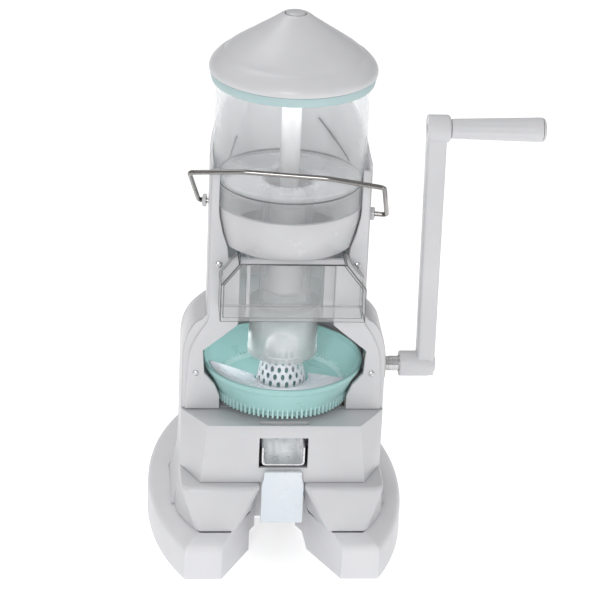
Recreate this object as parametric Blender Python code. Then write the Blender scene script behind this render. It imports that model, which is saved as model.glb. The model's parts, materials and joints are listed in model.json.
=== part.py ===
"""Hand-cranked rotary cheese grater, built as an assembly of separate pieces.

Cheese goes into the clear hopper, the pusher presses it down the spout onto a perforated cone, and the crank
turns that cone and its bowl through two gear pairs. Shreds fall through the cone and leave by the chute.

Axes: +X is the crank side, -Y is the front, +Z is up. Sizes below are in millimetres, and MM turns them into
metres as each mesh is made. Points are measured from the bowl's axis at floor level (the "bowl_axis" empty).
"""

import math

import bmesh
import bpy

MM = 0.001
GAP = 0.4              # air left between pieces that touch on the real object

# Driving dimensions
AXIS_Y = -26.0         # the bowl's axis lies this far from the middle of the base
BASE_HALF = (86.4, 141.4)   # half axes of the ellipse that the base follows
BASE_FRONT = -69.0
BASE_REAR = 121.0
BASE_TOP = 30.0
LEDGE = 14.5           # width of the base's sloping ledge
NOTCH_HALF = 14.0      # half width of the gap between the legs
NOTCH_REAR = 14.0
LEG_TOP = 61.0
DECK_TOP = 103.0
WALL = 2.5
FACE_Y = -46.5         # front face of the housing
FACE_HALF_LOW = 53.6   # the front face's half width at its foot
FACE_HALF_TOP = 49.8
CHEEK_END_Y = -22.0    # the slanted cheeks run back to here
BEARING_R = 24.3       # outside of the bowl's bearing
FRONT_END_Y = -19.7    # the front pieces end here
REAR_START_Y = -19.2   # the rear shells begin here
BODY_HALF = 66.5
BODY_REAR_START = 30.0      # the rear housing's straight sides end here
BODY_REAR_DEPTH = 42.0
SHOULDER_LOW = 138.0
SHOULDER_TOP = 168.0
TOWER_R = 51.3
TOWER_SIDE_TOP = 275.0
TOWER_REAR_TOP = 324.5
HOPPER_R = 49.1
HOPPER_FLOOR = 256.5
HOPPER_TOP = 330.5
LID_R = 53.4
LID_BASE = 331.5
LID_TOP = 369.0
STEM_R = 6.4
BOWL_R = 53.4
BOWL_RIM = 132.0
BOWL_FLOOR = 113.0
HUB_R = 20.0
CONE_TOP = 145.0
MODULE = 1.0           # of every gear
RING_TEETH = 88
PINION_TEETH = 16
LAY_TEETH = 24
CRANK_TEETH = 34
RING_LOW = 104.2       # underside of the ring gear's teeth
LAY_Z = 97.0           # height of the lay shaft
CRANK_Z = 126.0        # height of the crank shaft
SHAFT_R = 5.0
LAY_R = 3.0
CRANK_REACH = 167.0    # from the crank shaft to the grip's axle
HUB_X = (78.0, 102.0)  # the crank's hub
ARM_FOOT_X = (89.4, 101.2)
ARM_HEAD_X = (87.0, 99.6)     # the arm leans in, and clears the base as it turns
BOSS_X = (86.9, 101.6)        # the boss at the arm's head, which holds the grip's axle
AXLE_R = 2.8
GRIP_X = (102.1, 163.5)
BAIL_Z = 238.0
BAIL_TURN = math.radians(10.4)   # the bail's hinge axis is turned this much about the tower
BAIL_SIDES = (-58.1, 63.9)       # the two legs of the bail, along its hinge axis
BAIL_LIFT = math.radians(39.3)   # the bail rests this far above level
WIRE_R = 1.6

FINISHES = {
    "white_shell": ((0.70, 0.70, 0.71), 0.32, 0.0, 1.0),
    "white_gloss": ((0.78, 0.78, 0.79), 0.25, 0.0, 1.0),
    "mint": ((0.36, 0.62, 0.57), 0.38, 0.0, 1.0),
    "clear": ((0.88, 0.90, 0.90), 0.08, 0.0, 0.25),
    "steel": ((0.62, 0.62, 0.63), 0.22, 1.0, 1.0),
    "bright_wire": ((0.70, 0.70, 0.70), 0.12, 1.0, 1.0),
    "nylon": ((0.74, 0.73, 0.68), 0.50, 0.0, 1.0),
    "rubber": ((0.12, 0.12, 0.12), 0.80, 0.0, 1.0),
}


# ---------------------------------------------------------------- helpers

def clear_scene():
    for old in list(bpy.data.objects):
        bpy.data.objects.remove(old, do_unlink=True)


def make_materials():
    made = {}
    for name, (colour, roughness, metallic, alpha) in FINISHES.items():
        material = bpy.data.materials.new(name)
        material.use_nodes = True
        shader = material.node_tree.nodes["Principled BSDF"]
        shader.inputs["Base Color"].default_value = (*colour, 1.0)
        shader.inputs["Roughness"].default_value = roughness
        shader.inputs["Metallic"].default_value = metallic
        shader.inputs["Alpha"].default_value = alpha
        made[name] = material
    return made


def add_axis(name, point, parent=None):
    """An empty on a joint's axis or at the machine's centre. point is in the bowl-axis frame."""
    empty = bpy.data.objects.new(name, None)
    bpy.context.scene.collection.objects.link(empty)
    start = parent["at"] if parent else (0.0, 0.0, 0.0)
    empty.parent = parent
    empty.location = [(p - s) * MM for p, s in zip(point, start)]
    empty["at"] = point
    return empty


def add_object(name, data, finish, axis):
    thing = bpy.data.objects.new(name, data)
    bpy.context.scene.collection.objects.link(thing)
    thing.parent = axis
    if finish:
        thing.data.materials.append(MATERIALS[finish])
    return thing


def loft(name, rings, finish, axis, closed=False):
    """A closed body through rings of equal point count. closed joins the last ring to the first, as in a tube
    with a wall, and otherwise the end rings are capped."""
    start = axis["at"]
    shape = bmesh.new()
    rows = []
    for ring in rings:
        rows.append([shape.verts.new([(p - s) * MM for p, s in zip(point, start)]) for point in ring])
    count = len(rows[0])
    pairs = list(zip(rows, rows[1:]))
    if closed:
        pairs.append((rows[-1], rows[0]))
    for low, high in pairs:
        for i in range(count):
            j = (i + 1) % count
            shape.faces.new((low[i], low[j], high[j], high[i]))
    if not closed:
        shape.faces.new(rows[0])
        shape.faces.new(rows[-1])
    bmesh.ops.recalc_face_normals(shape, faces=shape.faces)
    bmesh.ops.triangulate(shape, faces=shape.faces)   # a Boolean needs flat faces
    mesh = bpy.data.meshes.new(name)
    shape.to_mesh(mesh)
    shape.free()
    mesh.shade_smooth()
    mesh.set_sharp_from_angle(angle=math.radians(35))
    return add_object(name, mesh, finish, axis)


def on_axis(direction, u, v, along):
    """The point with cross-section coordinates u, v at a distance along the X, Y or Z direction."""
    if direction == "X":
        return (along, u, v)
    if direction == "Y":
        return (u, along, v)
    return (u, v, along)


def arc(radius, first, last, steps):
    """Points round the bowl's axis, with the angles in degrees."""
    angles = [math.radians(first + (last - first) * i / steps) for i in range(steps + 1)]
    return [(radius * math.cos(a), radius * math.sin(a)) for a in angles]


def circle(radius, along, count, direction="Z", centre=(0.0, 0.0)):
    steps = [2 * math.pi * (i + 0.5) / count for i in range(count)]
    return [on_axis(direction, centre[0] + radius * math.cos(a), centre[1] + radius * math.sin(a), along)
            for a in steps]


def turned(name, profile, finish, axis, count=40, direction="Z", centre=(0.0, 0.0), hollow=True):
    """A turned piece from (radius, distance along the direction) points. hollow profiles are closed loops."""
    rings = [circle(r, along, count, direction, centre) for r, along in profile]
    return loft(name, rings, finish, axis, closed=hollow)


def tube(name, inner, outer, low, high, finish, axis, **options):
    return turned(name, [(outer, low), (outer, high), (inner, high), (inner, low)], finish, axis, **options)


def rod(name, radius, low, high, finish, axis, count=24, direction="Z", centre=(0.0, 0.0)):
    return turned(name, [(radius, low), (radius, high)], finish, axis, count, direction, centre, hollow=False)


def prism(name, outline, low, high, finish, axis, direction="Z"):
    rings = [[on_axis(direction, u, v, along) for u, v in outline] for along in (low, high)]
    return loft(name, rings, finish, axis)


def cut(target, *cutters, operation="DIFFERENCE"):
    for cutter in cutters:
        cutter.hide_render = True
        cutter.display_type = "WIRE"
        step = target.modifiers.new(cutter.name, "BOOLEAN")
        step.operation = operation
        step.solver = "EXACT"
        step.object = cutter
    return target


def join(name, pieces):
    """Several separate solids as one object, for a cutter with many pegs."""
    first = pieces[0]
    shape = bmesh.new()
    for piece in pieces:
        shape.from_mesh(piece.data)
    shape.to_mesh(first.data)
    shape.free()
    for piece in pieces[1:]:
        bpy.data.objects.remove(piece)
    first.name = name
    return first


def rectangle(left, right, low, high):
    return [(left, low), (right, low), (right, high), (left, high)]


def mirrored(half):
    """A closed outline from its right half, whose first and last points lie on the middle line."""
    return half + [(-x, y) for x, y in reversed(half[1:-1])]


def gear_outline(teeth, root, tip, root_half, tip_half, phase):
    """Four points for each tooth. The half widths are in millimetres at the root and at the tip."""
    outline = []
    for i in range(teeth):
        middle = phase + 2 * math.pi * i / teeth
        for radius, half in ((root, -root_half), (tip, -tip_half), (tip, tip_half), (root, root_half)):
            angle = middle + half / radius
            outline.append((radius * math.cos(angle), radius * math.sin(angle)))
    return outline


def gear(name, teeth, phase, low, high, height, bore, finish, axis):
    """A spur gear about X at the given height, with teeth thinned for backlash."""
    pitch = MODULE * teeth / 2
    outline = gear_outline(teeth, pitch - 1.25 * MODULE, pitch + MODULE, 0.78, 0.30, phase)
    wheel = prism(name, [(u, v + height) for u, v in outline], low, high, finish, axis, "X")
    drill = rod(name + "_bore", bore, low - 1, high + 1, None, axis, 20, "X", (0, height))
    return cut(wheel, drill)


def base_outline(inset, wall=0.0):
    """The base's plan: an ellipse cut off at front and rear, with a notch between the legs.

    inset draws in the outer edge, and wall draws in every edge.
    """
    half_x = BASE_HALF[0] - inset - wall
    half_y = BASE_HALF[1] - inset - wall
    middle = -AXIS_Y
    front = BASE_FRONT + 0.75 * inset + wall
    rear = BASE_REAR - inset - wall
    toe_x = 39.5 - (39.5 - 19.5) * (front - BASE_FRONT) / (69.0 - 31.0) + wall
    notch = [(0.0, NOTCH_REAR + wall), (NOTCH_HALF + wall, NOTCH_REAR + wall), (NOTCH_HALF + wall, 1.0),
             (18.0 + wall, -7.0), (19.5 + wall, -31.0), (toe_x, front)]
    first = math.asin((front - middle) / half_y)
    last = math.asin((rear - middle) / half_y)
    arc = []
    for i in range(15):
        angle = first + (last - first) * i / 14
        arc.append((half_x * math.cos(angle), middle + half_y * math.sin(angle)))
    return mirrored(notch + arc + [(0.0, rear)])


def around_body(outline, room):
    """The same outline with its rear points drawn forward to the rear housing's foot."""
    drawn = []
    for x, y in outline:
        if y > BODY_REAR_START:
            turn = math.atan2(y - BODY_REAR_START, abs(x))
            half_x = body_half(BASE_TOP) + room
            x = math.copysign(half_x * math.cos(turn), x)
            y = BODY_REAR_START + (BODY_REAR_DEPTH + room) * math.sin(turn)
        drawn.append((x, y))
    return drawn


def horseshoe(half_x, straight_end, depth, wall, steps):
    """A U-shaped wall, open at the front: straight sides, then half an ellipse round the rear."""
    def side(out):
        arc = [math.pi * i / steps for i in range(steps + 1)]
        points = [(half_x - out, REAR_START_Y)]
        points += [((half_x - out) * math.cos(a), straight_end + (depth - out) * math.sin(a)) for a in arc]
        return points + [(-(half_x - out), REAR_START_Y)]
    return side(0.0) + list(reversed(side(wall)))


def at_height(outline, z):
    return [(x, y, z) for x, y in outline]


def body_half(z):
    """Half width of the rear housing: flared at the foot, straight, then rounded in to the tower."""
    if z < LEG_TOP:
        return BODY_HALF + 5.5 * ((LEG_TOP - z) / (LEG_TOP - BASE_TOP)) ** 2
    if z <= SHOULDER_LOW:
        return BODY_HALF
    share = min(1.0, (z - SHOULDER_LOW) / (SHOULDER_TOP - SHOULDER_LOW))
    return TOWER_R + 0.7 + (BODY_HALF - TOWER_R - 0.7) * math.sqrt(1 - share ** 2)


# ---------------------------------------------------------------- fixed pieces

def base_pieces(axis):
    outside = [(0.0, 1.0), (0.0, 21.5), (1.2, 24.4), (4.5, 26.8), (9.5, 28.8), (LEDGE, BASE_TOP)]
    inside = [(LEDGE, BASE_TOP - 2.4), (9.5, 26.4), (4.5, 24.4), (0.5, 20.5), (0.0, 1.0)]
    rings = [at_height(base_outline(inset), z) for inset, z in outside]
    rings.append(at_height(around_body(base_outline(LEDGE), 0.2), BASE_TOP + 0.1))
    rings.append(at_height(around_body(base_outline(LEDGE, 2.0), -1.8), BASE_TOP - 2.3))
    rings += [at_height(base_outline(inset, 2.3), z) for inset, z in inside]
    loft("base_shell", rings, "white_shell", axis, closed=True)
    plate = base_outline(0.0, 2.3 + GAP)
    prism("base_plate", plate, 2.0, 4.5, "white_shell", axis)
    corners = [(x, y) for x in (-52.0, 52.0) for y in (-50.0, 96.0)]
    for number, spot in enumerate(corners, 1):
        rod(f"foot_pad_{number}", 8.0, 0.0, 1.6, "rubber", axis, 20, centre=spot)
    rod("foot_pad_centre", 9.0, 0.0, 1.6, "rubber", axis, 20, centre=(0.0, -AXIS_Y))
    spots = [(x, y) for x in (-66.0, 66.0) for y in (-14.0, 62.0)]
    for number, spot in enumerate(spots, 1):
        rod(f"base_screw_{number}", 3.0, 0.5, 1.6, "steel", axis, 12, centre=spot)


def body_shell(axis):
    """Rear housing: the U-shaped wall that carries the drive and flows up into the tower."""
    levels = [BASE_TOP + GAP, 40.0, 50.0, LEG_TOP, SHOULDER_LOW, 148.0, 157.0, 163.5, 166.8, SHOULDER_TOP]
    rings = []
    for z in levels:
        half = body_half(z)
        share = max(0.0, min(1.0, (z - 120.0) / (SHOULDER_TOP - 120.0))) ** 2
        straight_end = BODY_REAR_START * (1 - share)
        depth = BODY_REAR_DEPTH + (TOWER_R + 0.7 - BODY_REAR_DEPTH) * share
        rings.append(at_height(horseshoe(half, straight_end, depth, WALL, 14), z))
    shell = loft("body_shell", rings, "white_shell", axis)
    hole = rod("outer_bush_hole", 8.3, 60.0, 72.0, None, axis, 24, "X", (0.0, CRANK_Z))
    cut(shell, hole)


def front_housing(axis):
    """The bulkhead under the bowl: front face, slanted cheeks and the front of the deck."""
    def plan(half_front, step, rear):
        side = step - BODY_HALF
        left = [(side, rear), (side, CHEEK_END_Y), (step * 0.6 - half_front, FACE_Y + step)]
        return left + [(-x, y) for x, y in reversed(left)]

    low, high = LEG_TOP + GAP, DECK_TOP
    rings = [at_height(plan(FACE_HALF_LOW, 0.0, FRONT_END_Y), low),
             at_height(plan(FACE_HALF_TOP, 0.0, FRONT_END_Y), high)]
    block = loft("front_housing", rings, "white_shell", axis)
    hollow = [at_height(plan(FACE_HALF_LOW, WALL, FRONT_END_Y + 10), low - 5),
              at_height(plan(FACE_HALF_TOP + 0.7, WALL, FRONT_END_Y + 10), high - WALL)]
    inside = loft("housing_hollow", hollow, None, axis)
    window = prism("window", rectangle(-16.0, 16.0, 72.0, 94.0), FACE_Y - 10, FACE_Y + 6, None, axis, "Y")
    slot = prism("deck_slot", rectangle(-16.0, 16.0, -44.5, -40.0), DECK_TOP - 8, DECK_TOP + 7, None, axis)
    hub = rod("hub_hole", BEARING_R + 0.5, DECK_TOP - 8, DECK_TOP + 7, None, axis, 40)
    cut(block, inside, window, slot, hub)
    drive_deck(axis, hub)


def drive_deck(axis, hub):
    """The rear half of the deck under the bowl, notched for the gears."""
    half_x, depth = BODY_HALF - WALL - 1.2, BODY_REAR_DEPTH - WALL - 2.5
    turns = [math.pi * i / 24 for i in range(12)]
    rear = [(half_x * math.cos(a), BODY_REAR_START + depth * math.sin(a)) for a in turns]
    outline = mirrored([(0.0, REAR_START_Y), (half_x, REAR_START_Y)] + rear + [(0.0, BODY_REAR_START + depth)])
    deck = prism("drive_deck", outline, DECK_TOP - WALL, DECK_TOP, "white_shell", axis)
    room = rectangle(37.9, 70.0, -17.5, 17.5)
    notch = prism("gear_notch", room, DECK_TOP - 8, DECK_TOP + 7, None, axis)
    cut(deck, hub, notch)


def leg_cover(name, side, axis):
    """A leg's upper cover, narrower at its foot, hollow and open underneath."""
    bottom = [(18.2, FRONT_END_Y), (19.6, -31.0), (29.9, -55.0), (31.5, -57.6),
              (54.0, -57.6), (56.5, -55.5), (64.0, -42.0), (70.0, FRONT_END_Y)]
    upper = [(14.5, FRONT_END_Y), (14.5, -31.0), (14.6, -50.0), (18.4, -54.0),
             (62.0, -54.0), (66.4, -50.5), (67.0, -42.0), (66.9, FRONT_END_Y)]
    cap = [(14.9, FRONT_END_Y), (14.9, -31.0), (15.2, -49.0), (18.8, -52.0),
           (61.6, -52.0), (65.6, -49.4), (66.2, -42.0), (66.2, FRONT_END_Y)]

    def inner(outline, z):
        middle = sum(x for x, y in outline) / len(outline)
        drawn = []
        for x, y in outline:
            forward = 2.6 if y < -40 else -2.4 if y > -25 else 0
            drawn.append((side * (x + math.copysign(2.4, middle - x)), y + forward, z))
        return drawn

    def outer(outline, z):
        return [(side * x, y, z) for x, y in outline]

    rings = [inner(cap, LEG_TOP - 2.4), inner(upper, LEG_TOP - 4.5), inner(bottom, BASE_TOP + GAP),
             outer(bottom, BASE_TOP + GAP), outer(upper, LEG_TOP - 2.6), outer(cap, LEG_TOP)]
    loft(name, rings, "white_shell", axis)


def front_frame(axis):
    """The upright plate: it closes the tower beside the collar, frames the window and fits round the bowl."""
    beside_collar = [(38.5, 211.0), (39.3, 219.0), (42.6, 229.0), (44.9, 240.0), (45.4, 246.0), (45.4, 272.0)]
    right = [(0.0, 211.0)] + beside_collar + [(50.2, 272.0), (TOWER_R - 0.3, SHOULDER_TOP + 3)]
    right += [(body_half(z) - 0.3, z) for z in (165.0, 160.0, 153.0, 146.0, SHOULDER_LOW, 125.0)]
    right += [(BODY_HALF - 0.5, DECK_TOP + GAP)]
    right += [(41.6, DECK_TOP + GAP), (41.8, 113.0), (45.2, 121.3), (52.1, 129.5)]   # clear of the bowl's flare
    right += [(53.3, 145.8), (38.2, 158.2), (31.0, 164.5), (31.0, 206.5), (0.0, 206.5)]
    plate = prism("front_frame", mirrored(right), -23.0, FRONT_END_Y, "white_shell", axis, "Y")
    plate.modifiers.new("soft_edges", "BEVEL").width = 0.6 * MM
    plate.modifiers["soft_edges"].segments = 1
    screws = ((57.6, 129.7, 1.9), (44.6, 207.3, 2.2))
    spots = [(side * x, z, r) for side in (-1, 1) for x, z, r in screws]
    for number, (x, z, r) in enumerate(spots, 1):
        rod(f"frame_screw_{number}", r, -24.2, -23.4, "steel", axis, 12, "Y", (x, z))


def guard(axis):
    """Clear cover over the plunger: a front pane with bevelled top corners, side walls and a bottom shelf."""
    outer = [(-44.4, 178.5), (48.4, 178.5), (48.4, 201.5), (35.2, 218.6), (-33.0, 218.6), (-44.4, 203.8)]
    inner = [(-42.6, 180.3), (46.6, 180.3), (46.6, 200.9), (33.8, 217.5), (33.8, 222.0), (-31.6, 222.0),
             (-31.6, 217.5), (-42.6, 203.2)]
    cover = prism("guard", outer, -48.0, -24.6, "clear", axis, "Y")
    hollow = prism("guard_hollow", inner, -46.2, -15.0, None, axis, "Y")
    cut(cover, hollow)


def tower_and_hopper(axis):
    levels = [SHOULDER_TOP + GAP, TOWER_SIDE_TOP]
    plan = horseshoe(TOWER_R, 0.0, TOWER_R, 1.8, 18)
    rings = [at_height(plan, z) for z in levels]
    crest = []
    for x, y in plan:
        share = max(0.0, y / TOWER_R)
        crest.append((x, y, TOWER_SIDE_TOP + 1 + (TOWER_REAR_TOP - TOWER_SIDE_TOP - 1) * share ** 1.3))
    shell = loft("tower_shell", rings + [crest], "white_shell", axis)
    cut(shell, bail_rod("bail_hole", 2.3, -60.0, 60.0, None, axis))
    bail_tube("left_bail_boss", 2.3, 4.2, -55.4, -53.0, axis)
    bail_tube("right_bail_boss", 2.3, 4.2, 53.3, 56.0, axis)
    turned("collar", [(48.9, 246.1), (48.5, 240.0), (46.4, 229.0), (43.4, 219.0), (41.4, 219.0), (44.4, 230.0),
                      (46.8, 246.1)], "white_gloss", axis, 36)
    turned("hopper", [(HOPPER_R, HOPPER_TOP), (HOPPER_R, 246.5), (47.3, 246.5), (47.3, HOPPER_FLOOR),
                      (17.3, HOPPER_FLOOR), (17.3, HOPPER_FLOOR + 2), (44.6, HOPPER_FLOOR + 2), (47.3, 264.0),
                      (47.3, HOPPER_TOP)], "clear", axis, 36)
    tube("spout", 15.2, 16.8, 175.0, HOPPER_FLOOR - GAP, "clear", axis, count=28)
    turned("feed_cup", [(23.0, 172.0), (23.0, 136.0), (21.4, 136.0), (21.4, 170.4), (17.5, 170.4),
                        (17.5, 172.0)], "clear", axis, 32)
    for name, left, right in (("left_guide_rib", -26.2, -24.0), ("right_guide_rib", 24.0, 30.6)):
        prism(name, rectangle(left, right, -18.8, -4.0), 168.0, 206.0, "white_gloss", axis)


def chute_pieces(axis):
    """Steel trough from under the bowl's hub to the window, and the white tongue in front of it."""
    floor = [(27.0, 92.0), (20.0, 86.5), (8.0, 81.0), (-10.0, 77.5), (-30.0, 75.0), (-46.0, 73.6)]
    rings = []
    for y, z in floor:
        top = min(z + 13.0, 93.6)
        outside = [(-14.0, top), (-14.0, z + 2), (-11.0, z), (11.0, z), (14.0, z + 2), (14.0, top)]
        inside = [(13.0, top), (13.0, z + 2.6), (10.6, z + 1), (-10.6, z + 1), (-13.0, z + 2.6), (-13.0, top)]
        rings.append([(x, y, height) for x, height in outside + inside])
    loft("chute", rings, "steel", axis)
    outline = [(-13.9, 33.0), (13.9, 33.0), (13.9, 62.0), (12.4, 66.0),
               (12.4, 71.0), (-12.4, 71.0), (-12.4, 66.0), (-13.9, 62.0)]
    prism("chute_tongue", outline, -50.6, -48.0, "white_gloss", axis, "Y")


def drive_supports(axis):
    outline = [(-16.0, 66.0), (16.0, 66.0), (16.0, 130.0), (10.0, 138.0), (-10.0, 138.0), (-16.0, 130.0)]
    bracket = prism("drive_bracket", outline, 54.4, 56.0, "steel", axis, "X")
    crank_centre, lay_centre = (0.0, CRANK_Z), (0.0, LAY_Z)
    upper = rod("bracket_upper_hole", 7.5, 50.0, 60.0, None, axis, 24, "X", crank_centre)
    lower = rod("bracket_lower_hole", LAY_R + 0.3, 30.0, 60.0, None, axis, 20, "X", lay_centre)
    cut(bracket, upper, lower)
    block = prism("lay_shaft_bearing", rectangle(-7.0, 7.0, 84.0, 103.4), 38.2, 40.7, "nylon", axis, "X")
    cut(block, lower)
    bore = SHAFT_R + 0.3
    plain = [(7.2, 54.3), (7.2, 56.5), (bore, 56.5), (bore, 54.3)]
    turned("inner_bush", plain, "nylon", axis, 24, "X", crank_centre)
    flanged = [(8.0, 63.6), (8.0, 66.9), (10.0, 66.9), (10.0, 68.4), (bore, 68.4), (bore, 63.6)]
    turned("outer_bush", flanged, "nylon", axis, 24, "X", crank_centre)
    tube("bowl_bearing", HUB_R + 0.4, BEARING_R, 97.0, 110.4, "nylon", axis, count=40)


# ---------------------------------------------------------------- moving pieces

def lid_pieces(axis):
    outside = [(LID_R, LID_BASE), (LID_R, 334.0), (51.5, 337.2), (47.0, 342.3), (44.0, 343.0), (41.0, 347.0),
               (9.5, 366.6), (7.2, LID_TOP)]
    inside = [(6.9, 366.4), (8.6, 364.4), (40.2, 344.4), (43.2, 340.6), (50.0, 335.4), (51.0, LID_BASE)]
    turned("lid_shell", outside + inside, "white_gloss", axis, 36)
    tube("lid_ring", 49.8, 52.4, 325.0, LID_BASE - GAP, "mint", axis, count=36)


def pusher_pieces(axis):
    rod("pusher_stem", STEM_R, 250.4, 365.6, "white_gloss", axis)
    head = [(11.0, 180.0), (12.0, 181.5), (12.0, 246.0), (9.0, 250.0)]
    cap = [(STEM_R, 366.0), (STEM_R, 369.6), (4.0, 371.0)]
    turned("pusher_head", head, "white_gloss", axis, 24, hollow=False)
    turned("pusher_cap", cap, "white_gloss", axis, 24, hollow=False)


def bail_point(s, t, lift=0.0):
    """A point of the bail: s along its hinge axis, t away from it, with the bail raised by lift."""
    along = (math.cos(BAIL_TURN), -math.sin(BAIL_TURN))
    ahead = (-math.sin(BAIL_TURN), -math.cos(BAIL_TURN))
    level = t * math.cos(lift)
    return (s * along[0] + level * ahead[0], s * along[1] + level * ahead[1], BAIL_Z + t * math.sin(lift))


def bail_ring(radius, s, count):
    angles = [2 * math.pi * i / count for i in range(count)]
    return [bail_point(s, radius, a) for a in angles]


def bail_rod(name, radius, low, high, finish, axis):
    return loft(name, [bail_ring(radius, s, 16) for s in (low, high)], finish, axis)


def bail_tube(name, inner, outer, low, high, axis):
    sizes = [(outer, low), (outer, high), (inner, high), (inner, low)]
    return loft(name, [bail_ring(r, s, 16) for r, s in sizes], "nylon", axis, closed=True)


def rounded(points, radius, steps=2):
    """The same path with each inner corner rounded."""
    path = [points[0]]
    for before, corner, after in zip(points, points[1:], points[2:]):
        def along(target):
            length = math.dist(corner, target)
            share = min(radius, length * 0.45) / length
            return [c + (t - c) * share for c, t in zip(corner, target)]
        start, end = along(before), along(after)
        for i in range(steps + 1):
            u = i / steps
            path.append(tuple(a * (1 - u) ** 2 + 2 * c * u * (1 - u) + b * u * u
                              for a, c, b in zip(start, corner, end)))
    return path + [points[-1]]


def wire_bail(axis):
    left, right = BAIL_SIDES
    flat = [(-50.2, 0.0), (left, 0.0), (left, 58.1), (left + 33.6, 68.3)]
    flat += [(right - 33.6, 68.3), (right, 58.1), (right, 0.0), (50.2, 0.0)]
    curve = bpy.data.curves.new("wire_bail", "CURVE")
    curve.dimensions = "3D"
    curve.bevel_depth = WIRE_R * MM
    curve.bevel_resolution = 2
    curve.use_fill_caps = True
    path = rounded(flat, 3.6)
    spline = curve.splines.new("POLY")
    spline.points.add(len(path) - 1)
    start = axis["at"]
    for point, (s, t) in zip(spline.points, path):
        place = bail_point(s, t, BAIL_LIFT)
        point.co = (*[(p - q) * MM for p, q in zip(place, start)], 1.0)
    add_object("wire_bail", curve, "bright_wire", axis)


def bowl_pieces(axis):
    turned("bowl", [(BOWL_R, BOWL_RIM), (43.4, 110.9), (HUB_R, 110.9), (HUB_R, 95.0), (17.4, 95.0),
                    (17.4, BOWL_FLOOR), (42.2, BOWL_FLOOR), (51.4, BOWL_RIM)], "mint", axis, 44)
    pitch = MODULE * RING_TEETH / 2
    half_gap = math.pi / RING_TEETH
    outline = gear_outline(RING_TEETH, pitch - 2.5, pitch + 1.0, 0.70, 0.70, half_gap)
    ring = prism("ring_gear", outline, RING_LOW, 110.5, "mint", axis)
    cut(ring, rod("ring_bore", 37.0, 100.0, 115.0, None, axis, count=40))
    outside = [(16.8, BOWL_FLOOR + GAP), (10.9, 141.0), (9.0, 144.0), (5.0, CONE_TOP)]
    inside = [(4.6, 144.2), (8.4, 143.0), (10.1, 140.6), (16.0, BOWL_FLOOR + GAP)]
    cone = turned("grating_cone", outside + inside, "steel", axis, 24)
    cut(cone, cone_holes(axis))
    outline = arc(19.0, -18.0, -162.0, 10) + arc(41.4, -142.0, -38.0, 12)
    prism("sector_tray", outline, BOWL_FLOOR + GAP, BOWL_FLOOR + 1.8, "white_gloss", axis)


def cone_holes(axis):
    """Staggered rows of small slanted pegs that pierce the cone's wall."""
    pegs = []
    for row in range(3):
        z = 119.0 + 7.0 * row
        radius = 16.8 - 5.9 * (z - BOWL_FLOOR - GAP) / 27.6
        for i in range(12):
            turn = 2 * math.pi * (i + 0.5 * (row % 2)) / 12
            side, out = (-math.sin(turn), math.cos(turn)), (math.cos(turn), math.sin(turn))
            shape = [(1.2, 0.0), (0.0, 2.0), (-1.2, 0.0), (0.0, -2.0)]
            rings = [[(out[0] * r + side[0] * u, out[1] * r + side[1] * u, z + v) for u, v in shape]
                     for r in (radius - 2.5, radius + 2.0)]
            pegs.append(loft("peg", rings, None, axis))
    return join("cone_pegs", pegs)


def crank_pieces(axis, grip_axis):
    centre = (0.0, CRANK_Z)
    rod("crank_shaft", SHAFT_R, 54.6, 96.4, "steel", axis, 24, "X", centre)
    gear("crank_gear", CRANK_TEETH, -math.pi / 2, 57.0, 62.0, CRANK_Z, SHAFT_R + 0.3, "nylon", axis)
    grip_z = CRANK_Z + CRANK_REACH
    rings = []
    corner = 2.0
    for z, low, high, half in ((CRANK_Z - 5, *ARM_FOOT_X, 6.6), (CRANK_Z + 10, *ARM_FOOT_X, 6.8),
                               (grip_z - 12, *ARM_HEAD_X, 6.0), (grip_z + 5, *ARM_HEAD_X, 5.8)):
        right = [(high - corner, -half), (high, corner - half), (high, half - corner), (high - corner, half)]
        left = [(low + corner, half), (low, half - corner), (low, corner - half), (low + corner, -half)]
        rings.append(at_height(right + left, z))
    arm = loft("crank_arm", rings, "white_shell", axis)
    rounded_hub = [(8.5, HUB_X[0]), (8.5, HUB_X[1] - 3.5), (6.5, HUB_X[1])]
    hub = turned("crank_hub", rounded_hub, None, axis, 32, "X", centre, hollow=False)
    boss = rod("crank_boss", 9.0, *BOSS_X, None, axis, 32, "X", (0.0, grip_z))
    cut(arm, hub, boss, operation="UNION")
    bore = rod("crank_bore", SHAFT_R + 0.3, HUB_X[0] - 8, HUB_X[1] + 8, None, axis, 24, "X", centre)
    hole = rod("axle_hole", AXLE_R + 0.3, BOSS_X[0] - 8, BOSS_X[1] + 8, None, axis, 20, "X", (0.0, grip_z))
    cut(arm, bore, hole)
    rod("crank_screw", 4.7, 97.0, 101.4, "steel", axis, 16, "X", centre)
    rod("grip_axle", AXLE_R, BOSS_X[0] + 1, 158.0, "steel", axis, 16, "X", (0.0, grip_z))
    grip = [(6.4, GRIP_X[0]), (8.0, 158.0), (7.7, 160.9), (AXLE_R + 0.4, 160.9), (AXLE_R + 0.4, GRIP_X[0])]
    turned("crank_grip", grip, "white_shell", grip_axis, 28, "X", (0.0, grip_z))
    cap = [(7.6, 161.3), (7.1, 162.7), (5.0, GRIP_X[1])]
    turned("grip_end_cap", cap, "white_shell", grip_axis, 28, "X", (0.0, grip_z), hollow=False)


def lay_pieces(axis):
    rod("lay_shaft", LAY_R, 37.5, 62.8, "steel", axis, 20, "X", (0.0, LAY_Z))
    half_tooth = math.pi / LAY_TEETH
    gear("lay_gear", LAY_TEETH, math.pi / 2 + half_tooth, 57.0, 62.0, LAY_Z, LAY_R + 0.3, "nylon", axis)
    gear("pinion", PINION_TEETH, math.pi / 2, 42.5, 45.5, LAY_Z, LAY_R + 0.3, "nylon", axis)
    tube("shaft_clip", LAY_R + 0.3, 5.0, 46.0, 46.8, "steel", axis, count=16, direction="X",
         centre=(0.0, LAY_Z))


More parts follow.
